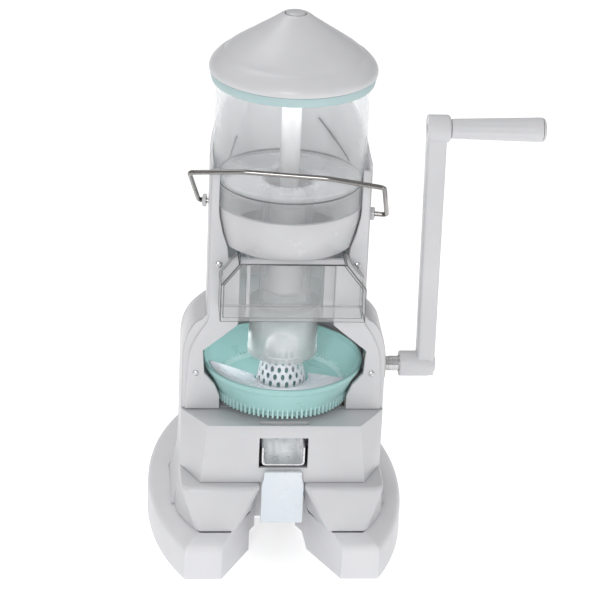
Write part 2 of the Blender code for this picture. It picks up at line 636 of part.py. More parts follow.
def build():
    machine = add_axis("bowl_axis", (0.0, 0.0, 0.0))
    machine.location.y = AXIS_Y * MM
    base_pieces(machine)
    body_shell(machine)
    front_housing(machine)
    leg_cover("left_leg_cover", -1, machine)
    leg_cover("right_leg_cover", 1, machine)
    front_frame(machine)
    guard(machine)
    tower_and_hopper(machine)
    chute_pieces(machine)
    drive_supports(machine)
    lid_pieces(add_axis("lid_axis", (0.0, 0.0, LID_BASE), machine))
    pusher_pieces(add_axis("pusher_axis", (0.0, 0.0, 250.0), machine))
    wire_bail(add_axis("bail_axis", (0.0, 0.0, BAIL_Z), machine))
    bowl_pieces(machine)
    crank_axis = add_axis("crank_axis", (0.0, 0.0, CRANK_Z), machine)
    grip_axis = add_axis("grip_axis", (0.0, 0.0, CRANK_Z + CRANK_REACH), crank_axis)
    crank_pieces(crank_axis, grip_axis)
    lay_pieces(add_axis("lay_axis", (0.0, 0.0, LAY_Z), machine))


clear_scene()
MATERIALS = make_materials()
build()
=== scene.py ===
"""Looks of the hand-cranked rotary cheese grater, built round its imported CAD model.

Shapes are written in millimetres about the bowl's axis at floor level, as in the CAD source, and put() turns
them into the frame's metres. +X is the crank side, -Y the front. Each piece rides on a CAD body, and most of
them stand for the CAD node of the same name.
"""
import json
import math

import bmesh
import bpy
from mathutils import Matrix, Vector


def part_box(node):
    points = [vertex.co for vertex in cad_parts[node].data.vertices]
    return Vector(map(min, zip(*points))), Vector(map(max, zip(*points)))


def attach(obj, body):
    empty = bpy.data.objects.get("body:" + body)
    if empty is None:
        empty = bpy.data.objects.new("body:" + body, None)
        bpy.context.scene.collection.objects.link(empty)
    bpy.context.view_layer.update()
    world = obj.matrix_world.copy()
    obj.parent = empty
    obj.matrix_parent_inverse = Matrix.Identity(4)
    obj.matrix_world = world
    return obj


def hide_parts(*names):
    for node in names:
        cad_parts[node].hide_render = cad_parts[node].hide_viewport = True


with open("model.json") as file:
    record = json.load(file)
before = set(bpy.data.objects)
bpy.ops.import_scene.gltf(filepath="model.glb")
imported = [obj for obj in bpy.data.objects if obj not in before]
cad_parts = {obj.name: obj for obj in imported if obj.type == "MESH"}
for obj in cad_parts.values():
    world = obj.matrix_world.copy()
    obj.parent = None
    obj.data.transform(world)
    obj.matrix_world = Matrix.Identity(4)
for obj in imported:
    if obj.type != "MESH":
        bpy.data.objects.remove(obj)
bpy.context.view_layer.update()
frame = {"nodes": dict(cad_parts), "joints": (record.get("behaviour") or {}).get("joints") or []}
MM = 0.001


def reach(node):
    """(low x, y, z), (high x, y, z) of a CAD node in millimetres."""
    low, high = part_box(node)
    return [v / MM for v in low], [v / MM for v in high]


HOPPER_LOW, HOPPER_HIGH = reach("hopper")
AXIS_Y = (HOPPER_LOW[1] + HOPPER_HIGH[1]) / 2          # the bowl's axis in the frame
HOPPER_R = (HOPPER_HIGH[0] - HOPPER_LOW[0]) / 2
HOPPER_TOP = HOPPER_HIGH[2]
HOPPER_INSIDE = 47.3
HOPPER_FLOOR = reach("spout")[1][2] + 0.4
LID_LOW = reach("lid_shell")[0][2]
BOWL_R = reach("bowl")[1][0]
BOWL_RIM = reach("bowl")[1][2]
TOWER_R = reach("tower_shell")[1][0]
TOWER_LOW = reach("tower_shell")[0][2]
TOWER_TOP = reach("tower_shell")[1][2]
TOWER_SIDE_TOP = 275.0
FACE_Y = reach("front_housing")[0][1] - AXIS_Y
DECK_TOP = reach("front_housing")[1][2]
HOUSING_LOW = reach("front_housing")[0][2]
LEG_TOP = reach("left_leg_cover")[1][2]
BASE_FRONT = reach("base_shell")[0][1] - AXIS_Y
BASE_REAR = reach("base_shell")[1][1] - AXIS_Y
BASE_HALF = (reach("base_shell")[1][0], 141.4)  # half axes of the ellipse that the base follows
BASE_TOP = 30.0
LEDGE = 14.5
CRANK_Z = (reach("crank_shaft")[0][2] + reach("crank_shaft")[1][2]) / 2
GRIP_Z = (reach("grip_axle")[0][2] + reach("grip_axle")[1][2]) / 2
HUB_X = (78.05, 101.95)
ARM_FOOT_X = (89.4, 101.2)
ARM_HEAD_X = (87.0, 99.6)
BOSS_X = (86.95, 101.55)
RING_TEETH = 88
CONE_LOW = 113.4
CONE_R = 16.8                                   # at its foot, and it narrows by the next value
CONE_TAPER = 5.9 / 27.6
FRONT_END_Y = -19.7
REAR_START_Y = -19.2
BODY_HALF = 66.5
SHOULDER_LOW, SHOULDER_TOP = 138.0, 168.0
BAIL_SIDES = (-58.1, 63.9)                      # the two legs of the bail, along its hinge axis
BAIL = next(j for j in frame["joints"] if j["name"] == "bail_swing")


# ---------------------------------------------------------------- materials

def shader_of(name):
    material = bpy.data.materials.new(name)
    material.use_nodes = True
    return material, material.node_tree, material.node_tree.nodes["Principled BSDF"]


def noise(tree, scale, detail=4.0, stretch=None):
    """A noise texture in object space, in cycles per metre."""
    place = tree.nodes.new("ShaderNodeTexCoord")
    texture = tree.nodes.new("ShaderNodeTexNoise")
    texture.inputs["Scale"].default_value = scale
    texture.inputs["Detail"].default_value = detail
    source = place.outputs["Object"]
    if stretch:
        mapping = tree.nodes.new("ShaderNodeMapping")
        mapping.inputs["Scale"].default_value = stretch
        tree.links.new(source, mapping.inputs["Vector"])
        source = mapping.outputs["Vector"]
    tree.links.new(source, texture.inputs["Vector"])
    return texture.outputs["Fac"]


def remap(tree, source, low, high, start=0.3, end=0.7):
    node = tree.nodes.new("ShaderNodeMapRange")
    node.inputs["From Min"].default_value = start
    node.inputs["From Max"].default_value = end
    node.inputs["To Min"].default_value = low
    node.inputs["To Max"].default_value = high
    tree.links.new(source, node.inputs["Value"])
    return node.outputs["Result"]


def two_tone(tree, fac, dark, light):
    ramp = tree.nodes.new("ShaderNodeValToRGB")
    ramp.color_ramp.elements[0].position = 0.3
    ramp.color_ramp.elements[1].position = 0.7
    ramp.color_ramp.elements[0].color = (*dark, 1.0)
    ramp.color_ramp.elements[1].color = (*light, 1.0)
    tree.links.new(fac, ramp.inputs["Fac"])
    return ramp.outputs["Color"]


def bumped(tree, shader, sources):
    """Chains bumps, each (height, strength, distance in metres)."""
    last = None
    for height, strength, distance in sources:
        bump = tree.nodes.new("ShaderNodeBump")
        bump.inputs["Strength"].default_value = strength
        bump.inputs["Distance"].default_value = distance
        tree.links.new(height, bump.inputs["Height"])
        if last:
            tree.links.new(last, bump.inputs["Normal"])
        last = bump.outputs["Normal"]
    tree.links.new(last, shader.inputs["Normal"])


def plastic(name, dark, light, rough=(0.28, 0.42), grain=0.06, subsurface=0.0):
    """Moulded plastic: slow colour drift, a fine spark-eroded grain, and dusty patches that are duller."""
    material, tree, shader = shader_of(name)
    drift = noise(tree, 22.0, 3.0)
    tree.links.new(two_tone(tree, drift, dark, light), shader.inputs["Base Color"])
    smudge = noise(tree, 65.0, 6.0)
    tree.links.new(remap(tree, smudge, *rough), shader.inputs["Roughness"])
    bumped(tree, shader, [(noise(tree, 2600.0, 2.0), grain, 0.0002), (noise(tree, 38.0, 2.0), 0.05, 0.0012)])
    shader.inputs["IOR"].default_value = 1.5
    shader.inputs["Subsurface Weight"].default_value = subsurface
    shader.inputs["Subsurface Scale"].default_value = 0.002
    return material


def clear_plastic(name, face, edge, tint, rough=0.05, waves=0.12):
    """Clear styrene: almost unseen face on, grey and solid where the wall is seen along its thickness."""
    material, tree, shader = shader_of(name)
    weight = tree.nodes.new("ShaderNodeLayerWeight")
    weight.inputs["Blend"].default_value = 0.35
    streak = noise(tree, 30.0, 3.0, (1.0, 1.0, 0.25))
    tree.links.new(two_tone(tree, streak, [t * 0.90 for t in tint], tint), shader.inputs["Base Color"])
    alpha = remap(tree, weight.outputs["Facing"], face, edge, 0.15, 0.95)
    scuff = remap(tree, noise(tree, 90.0, 7.0), 0.0, 0.05, 0.5, 0.8)
    total = tree.nodes.new("ShaderNodeMath")
    total.operation = "ADD"
    total.use_clamp = True
    tree.links.new(alpha, total.inputs[0])
    tree.links.new(scuff, total.inputs[1])
    tree.links.new(total.outputs["Value"], shader.inputs["Alpha"])
    tree.links.new(remap(tree, noise(tree, 140.0, 4.0), rough * 0.6, rough * 2.2), shader.inputs["Roughness"])
    bumped(tree, shader, [(noise(tree, 24.0, 2.0), waves, 0.0015)])
    shader.inputs["IOR"].default_value = 1.58
    return material


def metal(name, dark, light, rough, stretch, scale=400.0, strength=0.10, metallic=1.0):
    """Turned, drawn or pressed steel with brush lines along one direction."""
    material, tree, shader = shader_of(name)
    lines = noise(tree, scale, 5.0, stretch)
    tree.links.new(two_tone(tree, lines, dark, light), shader.inputs["Base Color"])
    tree.links.new(remap(tree, noise(tree, 120.0, 5.0), *rough), shader.inputs["Roughness"])
    bumped(tree, shader, [(lines, strength, 0.0002)])
    shader.inputs["Metallic"].default_value = metallic
    return material


WHITE = plastic("white_shell", (0.555, 0.555, 0.57), (0.60, 0.60, 0.615), subsurface=0.05)
WHITE_DULL = plastic("white_base", (0.66, 0.66, 0.68), (0.71, 0.71, 0.73), (0.34, 0.5))
GLOSS = plastic("white_gloss", (0.50, 0.50, 0.515), (0.56, 0.56, 0.57), (0.18, 0.30), 0.02, 0.06)
MINT = plastic("mint", (0.30, 0.52, 0.505), (0.35, 0.575, 0.56), (0.26, 0.4), 0.04)
MINT_LID = plastic("mint_lid", (0.35, 0.475, 0.485), (0.40, 0.525, 0.535), (0.3, 0.45), 0.04)
MINT_GEAR = plastic("mint_gear", (0.38, 0.58, 0.57), (0.44, 0.64, 0.63), (0.3, 0.45), 0.04)
NYLON = plastic("nylon", (0.66, 0.65, 0.60), (0.74, 0.73, 0.69), (0.4, 0.55), 0.05)
RUBBER = plastic("rubber", (0.02, 0.02, 0.02), (0.035, 0.035, 0.035), (0.7, 0.9), 0.3)
CLEAR = clear_plastic("clear", 0.10, 0.62, (0.80, 0.82, 0.83))
CLEAR_PANE = clear_plastic("clear_pane", 0.13, 0.55, (0.78, 0.80, 0.80))
CLEAR_CUP = clear_plastic("clear_cup", 0.42, 0.96, (0.55, 0.58, 0.58), 0.09, 0.35)
# Near-black painted shade: dark surfaces that stand in for the dark lines which refraction and shadow gaps
# draw along the clear parts.
PAINTED_EDGE_SHADE = plastic("painted_edge_shade", (0.03, 0.033, 0.035), (0.07, 0.074, 0.076), (0.1, 0.2), 0.02)
STEEL = metal("steel", (0.50, 0.50, 0.51), (0.68, 0.68, 0.69), (0.18, 0.34), (0.04, 1.0, 1.0))
WIRE = metal("bright_wire", (0.20, 0.19, 0.185), (0.32, 0.31, 0.30), (0.10, 0.2), (1.0, 1.0, 1.0), 900.0,
             0.04)
SHAFT = metal("turned_shaft", (0.42, 0.42, 0.43), (0.70, 0.70, 0.71), (0.14, 0.26), (1.0, 0.02, 0.02), 1500.0)
TONGUE = plastic("tongue_white", (0.64, 0.69, 0.74), (0.70, 0.745, 0.785), (0.2, 0.32), 0.02, 0.05)
GRATER = metal("grater_steel", (0.78, 0.80, 0.83), (0.93, 0.95, 0.97), (0.30, 0.45), (1.0, 1.0, 0.06),
               metallic=0.25)
CHUTE = metal("chute_steel", (0.60, 0.60, 0.62), (0.88, 0.88, 0.90), (0.22, 0.4), (1.0, 0.05, 1.0), 300.0,
              0.2, 0.5)


# ---------------------------------------------------------------- mesh helpers

def put(point):
    return (point[0] * MM, (point[1] + AXIS_Y) * MM, point[2] * MM)


def on_axis(direction, u, v, along):
    if direction == "X":
        return (along, u, v)
    if direction == "Y":
        return (u, along, v)
    return (u, v, along)


def finish_mesh(name, shape, angle=32.0):
    bmesh.ops.recalc_face_normals(shape, faces=shape.faces)
    mesh = bpy.data.meshes.new(name)
    shape.to_mesh(mesh)
    shape.free()
    mesh.shade_smooth()
    mesh.set_sharp_from_angle(angle=math.radians(angle))
    thing = bpy.data.objects.new(name, mesh)
    bpy.context.scene.collection.objects.link(thing)
    return thing


def loft(name, rings, closed=False, angle=32.0):
    shape = bmesh.new()
    rows = [[shape.verts.new(put(point)) for point in ring] for ring in rings]
    count = len(rows[0])
    pairs = list(zip(rows, rows[1:]))
    if closed:
        pairs.append((rows[-1], rows[0]))
    for low, high in pairs:
        for i in range(count):
            j = (i + 1) % count
            shape.faces.new((low[i], low[j], high[j], high[i]))
    if not closed:
        shape.faces.new(rows[0])
        shape.faces.new(rows[-1])
    return finish_mesh(name, shape, angle)


def circle(radius, along, count, direction="Z", centre=(0.0, 0.0)):
    turns = [2 * math.pi * (i + 0.5) / count for i in range(count)]
    return [on_axis(direction, centre[0] + radius * math.cos(a), centre[1] + radius * math.sin(a), along)
            for a in turns]


def softened(points, closed=True, steps=4):
    """A path whose points may carry a third number, the radius that rounds them."""
    path = []
    count = len(points)
    for i, point in enumerate(points):
        radius = point[2] if len(point) > 2 else 0.0
        inner = closed or 0 < i < count - 1
        if radius <= 0 or not inner:
            path.append((point[0], point[1]))
            continue
        before, after = points[i - 1], points[(i + 1) % count]

        def towards(target, corner=point, size=radius):
            length = math.dist(corner[:2], target[:2])
            share = min(size, length * 0.48) / length
            return [c + (t - c) * share for c, t in zip(corner[:2], target[:2])]

        start, end = towards(before), towards(after)
        for k in range(steps + 1):
            u = k / steps
            path.append(tuple(a * (1 - u) ** 2 + 2 * c * u * (1 - u) + b * u * u
                              for a, c, b in zip(start, point[:2], end)))
    return path


def turned(name, profile, count=128, direction="Z", centre=(0.0, 0.0), hollow=True, steps=4, angle=32.0):
    path = softened(profile, hollow, steps)
    return loft(name, [circle(r, along, count, direction, centre) for r, along in path], hollow, angle)


def prism(name, outline, low, high, direction="Z"):
    return loft(name, [[on_axis(direction, u, v, along) for u, v in outline] for along in (low, high)])


def bevelled(thing, width, segments=3, material=-1, angle=35.0):
    step = thing.modifiers.new("edges", "BEVEL")
    step.width = width * MM
    step.segments = segments
    step.limit_method = "ANGLE"
    step.angle_limit = math.radians(angle)
    step.use_clamp_overlap = True
    step.material = material
    return thing


def cut(thing, *cutters, operation="DIFFERENCE"):
    for cutter in cutters:
        step = thing.modifiers.new("cut", "BOOLEAN")
        step.operation = operation
        step.solver = "EXACT"
        step.object = cutter
    apply_all(thing)
    for cutter in cutters:
        bpy.data.objects.remove(cutter)
    return thing


def apply_all(thing, angle=32.0):
    """Turns the modifiers into the mesh itself."""
    bpy.context.view_layer.update()
    result = bpy.data.meshes.new_from_object(thing.evaluated_get(bpy.context.evaluated_depsgraph_get()))
    thing.modifiers.clear()
    thing.data = result
    result.shade_smooth()
    result.set_sharp_from_angle(angle=math.radians(angle))
    return thing


def show(thing, body, slot, material, *nodes):
    """Gives a piece its material (unless it has its own), body and the CAD nodes that it stands for. The slot
    is not used.
    """
    if material:
        thing.data.materials.clear()
        thing.data.materials.append(material)
    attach(thing, body)
    if nodes:
        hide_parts(*nodes)
    return thing


def keep(node, material, width=0.3, segments=2):
    """A CAD node whose shape is right: a better material and softened edges."""
    thing = frame["nodes"][node]
    thing.data.materials.clear()
    thing.data.materials.append(material)
    if width:
        bevelled(thing, width, segments)


def mirrored(half):
    return half + [(-x, y) for x, y in reversed(half[1:-1])]


def at_height(outline, z):
    return [(x, y, z) for x, y in outline]


# ---------------------------------------------------------------- base and housings

def base_outline(inset, wall=0.0, room=None):
    """The base's plan in a finer curve. With room, its rear is drawn in to that far outside the housing."""
    half_x = BASE_HALF[0] - inset - wall
    half_y = BASE_HALF[1] - inset - wall
    middle = 26.0
    front = BASE_FRONT + 0.75 * inset + wall
    rear = BASE_REAR - inset - wall
    toe_x = 39.5 - 20.0 * (front - BASE_FRONT) / 38.0 + wall
    notch = [(0.0, 14.0 + wall), (13.0 + wall, 14.0 + wall), (14.0 + wall, 13.0 + wall), (14.0 + wall, 1.0),
             (18.0 + wall, -7.0), (19.5 + wall, -31.0), (toe_x, front), (toe_x + 2.0, front)]
    first = math.asin((front - middle) / half_y)
    last = math.asin((rear - middle) / half_y)
    arc = []
    for i in range(61):
        angle = first + (last - first) * i / 60
        x, y = half_x * math.cos(angle), middle + half_y * math.sin(angle)
        if room is not None and y > 30.0:
            turn = math.atan2(y - 30.0, x)
            x = (body_half(BASE_TOP) + room) * math.cos(turn)
            y = 30.0 + (42.0 + room) * math.sin(turn)
        arc.append((x, y))
    end = arc[-1][1] if room is None else 72.0 + room
    return mirrored(notch + arc + [(0.0, end)])


def body_half(z):
    if z < LEG_TOP:
        return BODY_HALF + 5.5 * ((LEG_TOP - z) / (LEG_TOP - BASE_TOP)) ** 2
    if z <= SHOULDER_LOW:
        return BODY_HALF
    share = min(1.0, (z - SHOULDER_LOW) / (SHOULDER_TOP - SHOULDER_LOW))
    return TOWER_R + 0.7 + (BODY_HALF - TOWER_R - 0.7) * math.sqrt(1 - share ** 2)


def horseshoe(half_x, straight_end, depth, wall, steps=48):
    def side(out):
        arc = [math.pi * i / steps for i in range(steps + 1)]
        points = [(half_x - out, REAR_START_Y), (half_x - out, REAR_START_Y + 0.6)]
        points += [((half_x - out) * math.cos(a), straight_end + (depth - out) * math.sin(a)) for a in arc]
        return points + [(-(half_x - out), REAR_START_Y + 0.6), (-(half_x - out), REAR_START_Y)]
    return side(0.0) + list(reversed(side(wall)))


def base_and_body():
    levels = [(0.5, 1.0), (0.0, 1.6), (0.0, 20.5), (0.3, 22.4), (1.2, 24.1), (2.8, 25.5), (5.0, 26.8),
              (9.5, 28.7), (LEDGE - 0.5, 29.9)]
    rings = [at_height(base_outline(inset), z) for inset, z in levels]
    rings.append(at_height(base_outline(LEDGE, 0.0, 0.5), BASE_TOP + 0.05))
    rings.append(at_height(base_outline(LEDGE, 0.0, 0.0), BASE_TOP - 0.4))
    rings.append(at_height(base_outline(LEDGE, 2.0, -1.8), BASE_TOP - 2.3))
    inside = [(9.5, 26.4), (4.5, 24.4), (0.5, 20.5), (0.0, 1.0)]
    rings += [at_height(base_outline(inset, 2.3), z) for inset, z in inside]
    shell = loft("base_shell_skin", rings, closed=True, angle=28.0)
    show(shell, "base", "white_shell", WHITE_DULL, "base_shell")
    levels = [BASE_TOP + 0.4, 31.2, 34.0, 38.0, 43.0, 50.0, LEG_TOP, 100.0, SHOULDER_LOW, 142.0, 147.0,
              152.0, 156.5, 160.0, 163.0, 165.2, 166.8, 167.7, SHOULDER_TOP]
    rings = []
    for z in levels:
        share = max(0.0, min(1.0, (z - 120.0) / (SHOULDER_TOP - 120.0))) ** 2
        depth = 42.0 + (TOWER_R + 0.7 - 42.0) * share
        rings.append(at_height(horseshoe(body_half(z), 30.0 * (1 - share), depth, 2.5), z))
    body = loft("body_shell_skin", rings)
    hole = turned("bush_hole", [(8.3, 60.0), (8.3, 76.0)], 48, "X", (0.0, CRANK_Z), hollow=False)
    show(cut(body, hole), "base", "white_shell", WHITE, "body_shell")


def leg_cover(name, side):
    """The leg's faceted cover with soft edges, hollow and open underneath."""
    bottom = [(18.2, FRONT_END_Y), (19.6, -31.0), (29.9, -55.0), (31.5, -57.6), (54.0, -57.6), (56.5, -55.5),
              (64.0, -42.0), (68.3, -31.0), (70.0, FRONT_END_Y)]
    upper = [(14.5, FRONT_END_Y), (14.5, -31.0), (14.6, -50.0), (18.4, -54.0), (62.0, -54.0), (66.4, -50.5),
             (67.0, -42.0), (67.0, -31.0), (66.9, FRONT_END_Y)]
    cap = [(14.9, FRONT_END_Y), (14.9, -31.0), (15.2, -49.0), (18.8, -52.0), (61.6, -52.0), (65.6, -49.4),
           (66.2, -42.0), (66.2, -31.0), (66.2, FRONT_END_Y)]

    def inner(outline, z):
        middle = sum(x for x, y in outline) / len(outline)
        return [(side * (x + math.copysign(2.4, middle - x)),
                 y + (2.6 if y < -40 else -2.4 if y > -25 else 0), z)
                for x, y in outline]

    def outer(outline, z):
        return [(side * x, y, z) for x, y in outline]

    rings = [inner(cap, LEG_TOP - 2.4), inner(upper, LEG_TOP - 4.5), inner(bottom, BASE_TOP + 0.4),
             outer(bottom, BASE_TOP + 0.4), outer(upper, LEG_TOP - 2.2), outer(cap, LEG_TOP)]
    cover = bevelled(loft(name + "_skin", rings, angle=60.0), 0.9, 3, angle=18.0)
    show(apply_all(cover), "base", "white_shell", WHITE, name)


def front_housing():
    def plan(half_back, half_front, step=0.0):
        return [(-half_back + step, FRONT_END_Y), (-half_back + step, -22.0),
                (-half_front + step * 0.6, FACE_Y + step), (half_front - step * 0.6, FACE_Y + step),
                (half_back - step, -22.0), (half_back - step, FRONT_END_Y)]
    block = loft("front_housing_skin", [at_height(plan(BODY_HALF, 54.0), HOUSING_LOW),
                                        at_height(plan(BODY_HALF, 49.8), DECK_TOP)])
    hollow = []
    for half, z in ((54.0, HOUSING_LOW - 5), (50.5, DECK_TOP - 2.5)):
        hollow.append(at_height([(x, y if y < -20 else -10.0) for x, y in plan(BODY_HALF, half, 2.5)], z))
    inside = loft("inside", hollow)
    window = prism("window", [(-16.0, 72.0), (16.0, 72.0), (16.0, 94.0), (-16.0, 94.0)], -60.0, -40.0, "Y")
    slot = prism("slot", [(-16.0, -44.5), (16.0, -44.5), (16.0, -40.0), (-16.0, -40.0)], 95.0, 110.0)
    hub = turned("hub", [(24.8, 95.0), (24.8, 110.0)], 96, hollow=False)
    for thing in (block, inside):
        split_quads(thing)
    cut(block, inside, window, slot, hub)
    bevelled(block, 0.8, 3, angle=18.0)
    show(apply_all(block), "base", "white_shell", WHITE, "front_housing")


def split_quads(thing):
    """Slanted cheeks aren't flat as quads, and a Boolean needs flat faces."""
    shape = bmesh.new()
    shape.from_mesh(thing.data)
    bmesh.ops.triangulate(shape, faces=shape.faces)
    shape.to_mesh(thing.data)
    shape.free()


def front_frame():
    """The upright plate, with a flange behind and a narrower raised face in front of it."""
    beside_collar = [(38.5, 211.0), (39.3, 219.0), (42.6, 229.0), (44.9, 240.0), (45.4, 246.0), (45.4, 272.0)]
    opening = [(41.6, DECK_TOP + 0.4), (41.8, 113.0), (45.2, 121.3), (52.1, 129.5), (53.3, 145.8),
               (38.2, 158.2), (31.0, 164.5), (31.0, 206.5), (0.0, 206.5)]
    top = [(0.0, 211.0)] + beside_collar + [(50.2, 272.0)]
    flange = top + [(TOWER_R - 0.3, SHOULDER_TOP + 3)]
    shoulder = (167.5, 166.0, 163.5, 160.0, 156.0, 151.0, 146.0, 141.0, SHOULDER_LOW)
    flange += [(body_half(z) - 0.3, z) for z in shoulder]
    flange += [(BODY_HALF - 0.5, DECK_TOP + 0.4)]
    face = top + softened([(50.2, 211.0), (49.4, 168.0, 8.0), (56.6, 158.0, 5.0), (62.6, 145.0, 12.0),
                           (64.3, 104.6)], False, 6) + [(64.3, DECK_TOP + 0.4)]
    rear = bevelled(prism("front_frame_skin", mirrored(flange + opening), -21.4, FRONT_END_Y, "Y"), 0.5, 2)
    front = bevelled(prism("front_frame_face", mirrored(face + opening), -23.0, -21.4, "Y"), 0.6, 3)
    for thing in (rear, front):
        show(apply_all(thing), "base", "white_shell", WHITE, "front_frame")


def screw_head(name, radius, x, z, node):
    """A domed cross-head screw facing the front."""
    head = turned(name, [(radius, -23.35), (radius, -23.7, 0.3), (radius * 0.6, -24.15, 0.3),
                         (radius * 0.2, -24.2)], 24, "Y", (x, z), hollow=False)
    width, length = radius * 0.14, radius * 0.62
    for u, v in ((width, length), (length, width)):
        corners = [(x - u, z - v), (x + u, z - v), (x + u, z + v), (x - u, z + v)]
        bar = prism("bar", corners, -25.0, -23.75, "Y")
        cut(head, bar)
    show(head, "base", "steel", STEEL, node)


def guard():
    outer = [(-44.4, 178.5), (48.4, 178.5), (48.4, 201.5), (35.2, 218.6), (-33.0, 218.6), (-44.4, 203.8)]
    inner = [(-42.6, 180.3), (46.6, 180.3), (46.6, 200.9), (33.8, 217.5), (33.8, 222.0), (-31.6, 222.0),
             (-31.6, 217.5), (-42.6, 203.2)]
    cover = prism("guard_skin", outer, -48.0, -24.6, "Y")
    cut(cover, prism("hollow", inner, -46.2, -15.0, "Y"))
    cover.data.materials.append(CLEAR_PANE)
    # The bevelled rims get the painted edge shade: dark lines that stand in for refraction at the pane's
    # edges.
    cover.data.materials.append(PAINTED_EDGE_SHADE)
    bevelled(cover, 0.85, 2, 1, angle=25.0)
    show(apply_all(cover), "base", "clear", None, "guard")


# ---------------------------------------------------------------- tower, hopper, lid and pusher

def bail_frame():
    along = Vector(BAIL["axis"]).normalized()
    ahead = Vector((along.y, -along.x, 0.0))
    if ahead.y > 0:
        ahead = -ahead
    return along, ahead, BAIL["pos_m"][2] / MM


def bail_point(s, t, lift=0.0):
    along, ahead, height = bail_frame()
    level = t * math.cos(lift)
    flat = along * s + ahead * level
    return (flat.x, flat.y, height + t * math.sin(lift))


def bail_rings(sizes, count=32):
    return [[bail_point(s, r, 2 * math.pi * i / count) for i in range(count)] for r, s in sizes]


def tower():
    plan = horseshoe(TOWER_R, 0.0, TOWER_R, 1.8, 72)
    levels = [TOWER_LOW, TOWER_LOW + 0.5, 200.0, 237.0, 260.0]
    rings = [at_height(plan, z) for z in levels]
    rise = TOWER_TOP - TOWER_SIDE_TOP
    for drop in (0.5, 0.0):
        rings.append([(x, y, TOWER_SIDE_TOP + rise * max(0.0, y / TOWER_R) ** 1.3 - drop) for x, y in plan])
    shell = loft("tower_shell_skin", rings)
    cut(shell, loft("bail_hole", bail_rings([(2.3, -60.0), (2.3, 60.0)])))
    show(shell, "base", "white_shell", WHITE, "tower_shell")
    for name, low, high in (("left_bail_boss", -55.4, -53.0), ("right_bail_boss", 53.3, 56.0)):
        sizes = [(4.2, low), (4.2, high - 0.5), (3.7, high), (2.7, high), (2.3, high - 0.4), (2.3, low)]
        if low < 0:
            sizes = [(4.2, high), (4.2, low + 0.5), (3.7, low), (2.7, low), (2.3, low + 0.4), (2.3, high)]
        show(loft(name + "_skin", bail_rings(sizes), True), "base", "nylon", GLOSS, name)


def hopper_and_collar():
    collar = turned("collar_skin", [(48.9, 246.1, 0.8), (48.7, 240.0, 3.0), (46.6, 229.5, 4.0),
                                    (44.9, 222.5, 1.5), (44.2, 219.6, 0.8), (43.4, 219.0, 0.4),
                                    (41.4, 219.0, 0.4), (44.4, 230.0), (46.8, 246.1)])
    show(collar, "base", "white_gloss", GLOSS, "collar")
    hopper = turned("hopper_skin", [(HOPPER_R, HOPPER_TOP, 0.5), (HOPPER_R, 264.5, 0.4),
                                    (HOPPER_R - 0.5, 263.7, 0.4), (HOPPER_R - 0.5, 246.5, 0.4),
                                    (HOPPER_INSIDE, 246.5, 0.4), (HOPPER_INSIDE, HOPPER_FLOOR, 0.3),
                                    (17.3, HOPPER_FLOOR, 0.4), (17.3, HOPPER_FLOOR + 2, 0.4),
                                    (44.6, HOPPER_FLOOR + 2, 2.0), (HOPPER_INSIDE, 264.0, 2.0),
                                    (HOPPER_INSIDE, HOPPER_TOP, 0.4)])
    show(hopper, "base", "clear", CLEAR, "hopper")
    # A dark ring at the hopper floor's rim is painted shade: it stands for the shadow gap and refraction line
    # seen there.
    edge = turned("hopper_floor_shade_ring", [(47.0, 258.9, 0.2), (47.0, 260.0, 0.3), (46.4, 259.9, 0.3),
                                        (46.1, 258.9, 0.2)])
    show(edge, "base", "clear", PAINTED_EDGE_SHADE)
    # Dark lines on the hopper's wall are painted shade: they stand for the tower's crest seen darkened
    # through the clear wall.
    for side, path in (("left", [(-37.0, 27.5, 259.6), (-34.6, 30.6, 267.0), (-31.8, 33.4, 275.0)]),
                       ("right", [(40.3, 22.5, 261.0), (30.8, 34.4, 272.6), (18.9, 42.1, 286.0)])):
        show(wire(f"{side}_hopper_shade_line", arched(path), 0.55), "base", "clear", PAINTED_EDGE_SHADE)
    spout = turned("spout_skin", [(16.8, 175.0, 0.4), (16.8, HOPPER_FLOOR - 0.4), (15.2, HOPPER_FLOOR - 0.4),
                                  (15.2, 175.0, 0.4)], 72)
    show(spout, "base", "clear", CLEAR, "spout")
    cup = turned("feed_cup_skin", [(23.0, 172.0, 0.5), (23.0, 168.5, 0.2), (22.6, 168.0, 0.2),
                                   (22.6, 140.0, 0.3), (23.0, 139.4, 0.3), (23.0, 136.0, 0.4),
                                   (21.4, 136.0, 0.4), (21.4, 170.4, 0.4), (17.5, 170.4, 0.3),
                                   (17.5, 172.0, 0.3)], 96)
    show(cup, "base", "clear", CLEAR_CUP, "feed_cup")


def arched(path, steps=6):
    """A path on the hopper's wall through the given points, which stays at the wall's radius."""
    points = []
    for start, end in zip(path, path[1:]):
        for k in range(steps):
            share = k / steps
            x, y, z = (a + (b - a) * share for a, b in zip(start, end))
            wall = (HOPPER_INSIDE - 1.1) / math.hypot(x, y)
            points.append((x * wall, y * wall, z))
    return points


def lid():
    low = LID_LOW
    shell = turned("lid_shell_skin", [(53.2, low, 0.4), (53.35, low + 2.8, 1.6), (51.6, low + 6.2, 2.4),
                                      (47.2, low + 10.6, 2.4), (44.4, low + 11.8, 1.2),
                                      (41.6, low + 15.0, 4.0), (13.5, low + 33.4, 5.0),
                                      (9.2, low + 36.7, 1.8), (7.4, low + 37.4, 0.6),
                                      (6.9, low + 36.9, 0.3), (6.9, low + 34.9), (8.6, low + 32.9),
                                      (40.2, low + 12.9), (43.2, low + 9.1), (50.0, low + 3.9),
                                      (51.0, low)], 160, angle=40.0)
    show(shell, "lid", "white_gloss", WHITE, "lid_shell")
    ring_low = reach("lid_ring")[0][2]
    ring = turned("lid_ring_skin", [(49.9, ring_low, 0.3), (51.4, ring_low, 0.6),
                                    (52.35, ring_low + 3.4, 1.0), (52.35, low - 0.4, 0.4),
                                    (49.9, low - 0.4, 0.3)], 160)
    show(ring, "lid", "mint", MINT_LID, "lid_ring")


